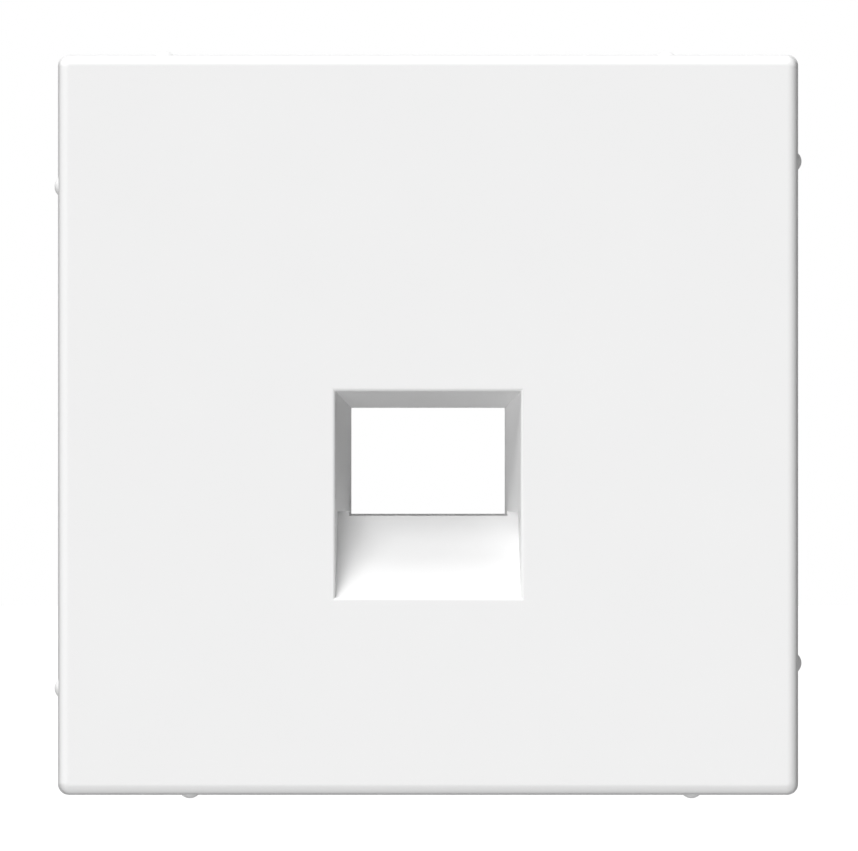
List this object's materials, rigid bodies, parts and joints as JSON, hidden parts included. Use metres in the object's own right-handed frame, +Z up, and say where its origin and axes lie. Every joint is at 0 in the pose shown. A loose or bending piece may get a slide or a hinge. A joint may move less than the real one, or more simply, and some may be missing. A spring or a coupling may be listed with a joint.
{
  "type": "data outlet cover plate",
  "caption": "Square white moulded cover plate for a wall data outlet, with a plug window, a thumb ramp and hooked legs behind.",
  "frame": {"origin": "centre of the plate's square outline in the plane of the rear rim", "axes": "+X to the right and +Z up as the plate is seen on the wall, +Y into the wall; the face looks along -Y"},
  "size_m": [0.0574, 0.0165, 0.0574],
  "materials": {
    "white_plastic": "white, smooth satin moulding"
  },
  "bodies": {
    "root": {"cover_plate": "white_plastic"}
  },
  "joints": []
}
